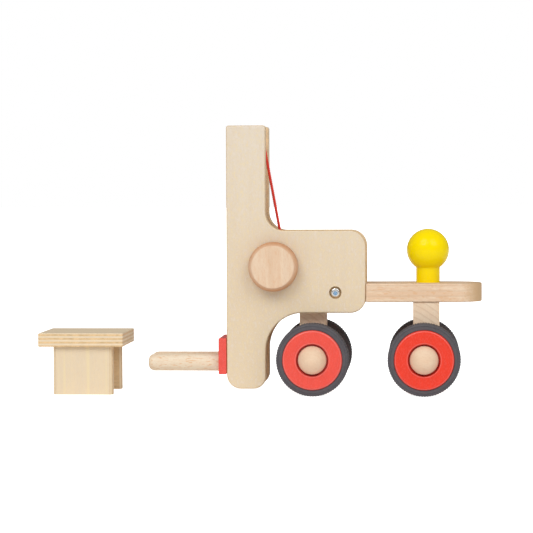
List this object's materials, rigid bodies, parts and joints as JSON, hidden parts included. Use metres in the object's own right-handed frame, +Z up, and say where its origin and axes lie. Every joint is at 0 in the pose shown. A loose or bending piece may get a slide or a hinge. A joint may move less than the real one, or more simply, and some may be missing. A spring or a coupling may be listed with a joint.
{
  "type": "toy forklift",
  "caption": "Wooden toy forklift: a knob winds a cord that lifts a carriage with round forks in a mast; rolling wheels, a ball driver and a small pallet.",
  "frame": {"origin": "on the floor under the middle of the truck and the pallet standing in front of it", "axes": "+X towards the back of the truck, along its length; the forks point to -X; +Y across, towards its right side; +Z up"},
  "size_m": [0.4046, 0.125, 0.2452],
  "materials": {
    "birch_plywood": "birch plywood, sanded and clear, with visible layers on its edges",
    "beech": "turned and planed beech, sanded smooth",
    "red_lacquer": "wood under a satin red lacquer",
    "yellow_lacquer": "turned wood under a gloss yellow lacquer",
    "tyre_rubber": "dark grey rubber with a finely ribbed tread",
    "screw_steel": "nickel-plated steel",
    "cord": "red twisted cord"
  },
  "bodies": {
    "chassis": {"side_panel_left": "birch_plywood", "side_panel_right": "birch_plywood", "deck": "beech", "front_axle_block": "beech", "rear_axle_block": "beech", "front_block_dowels": "beech", "rear_block_dowels": "beech", "front_axle": "beech", "rear_axle": "beech", "front_axle_spacers": "beech", "rear_axle_spacers": "beech", "front_hub_cap_left": "beech", "front_hub_cap_right": "beech", "rear_hub_cap_left": "beech", "rear_hub_cap_right": "beech", "panel_screws": "screw_steel", "top_guide_rod": "beech", "bottom_stop_rod": "beech", "cord_rear_run": "cord", "cord_front_run": "cord"},
    "front_wheel_left": {"front_rim_left": "red_lacquer", "front_tyre_left": "tyre_rubber"},
    "front_wheel_right": {"front_rim_right": "red_lacquer", "front_tyre_right": "tyre_rubber"},
    "rear_wheel_left": {"rear_rim_left": "red_lacquer", "rear_tyre_left": "tyre_rubber"},
    "rear_wheel_right": {"rear_rim_right": "red_lacquer", "rear_tyre_right": "tyre_rubber"},
    "winch": {"winch_shaft": "beech", "winch_knob_left": "beech", "winch_knob_right": "beech", "cord_winding": "cord"},
    "carriage": {"fork_plate": "red_lacquer", "slide_block": "beech", "guide_pins": "beech", "fork_left": "beech", "fork_right": "beech", "plate_screws": "screw_steel", "cord_anchor_knot": "cord"},
    "driver": {"driver_peg": "yellow_lacquer"},
    "pallet": {"pallet_plate": "birch_plywood", "pallet_leg_left": "birch_plywood", "pallet_leg_right": "birch_plywood", "pallet_dowels": "beech"}
  },
  "joints": [
    {"name": "front_wheel_left_roll", "type": "hinge", "parent": "chassis", "child": "front_wheel_left", "pos_m": [0.0489, 0, 0.033], "axis": [0, 1, 0], "continuous": true},
    {"name": "front_wheel_right_roll", "type": "hinge", "parent": "chassis", "child": "front_wheel_right", "pos_m": [0.0489, 0, 0.033], "axis": [0, 1, 0], "continuous": true},
    {"name": "rear_wheel_left_roll", "type": "hinge", "parent": "chassis", "child": "rear_wheel_left", "pos_m": [0.1495, 0, 0.033], "axis": [0, 1, 0], "continuous": true},
    {"name": "rear_wheel_right_roll", "type": "hinge", "parent": "chassis", "child": "rear_wheel_right", "pos_m": [0.1495, 0, 0.033], "axis": [0, 1, 0], "continuous": true},
    {"name": "knob_turn", "type": "hinge", "parent": "chassis", "child": "winch", "pos_m": [0.0129, 0, 0.1167], "axis": [0, 1, 0], "range_deg": [0, 1257]},
    {"name": "fork_lift", "type": "slide", "parent": "chassis", "child": "carriage", "axis": [0, 0, 1], "range_m": [0, 0.158], "deforming": ["cord_front_run"]},
    {"name": "driver_pull_out", "type": "slide", "parent": "chassis", "child": "driver", "axis": [0, 0, 1], "range_m": [0, 0.025]},
    {"name": "pallet_slide", "type": "slide", "parent": "chassis", "child": "pallet", "axis": [1, 0, 0], "range_m": [0, 0.0845]}
  ],
  "couplings": [
    {"joint": "fork_lift", "follows": "knob_turn", "m_per_rad": 0.0072}
  ]
}
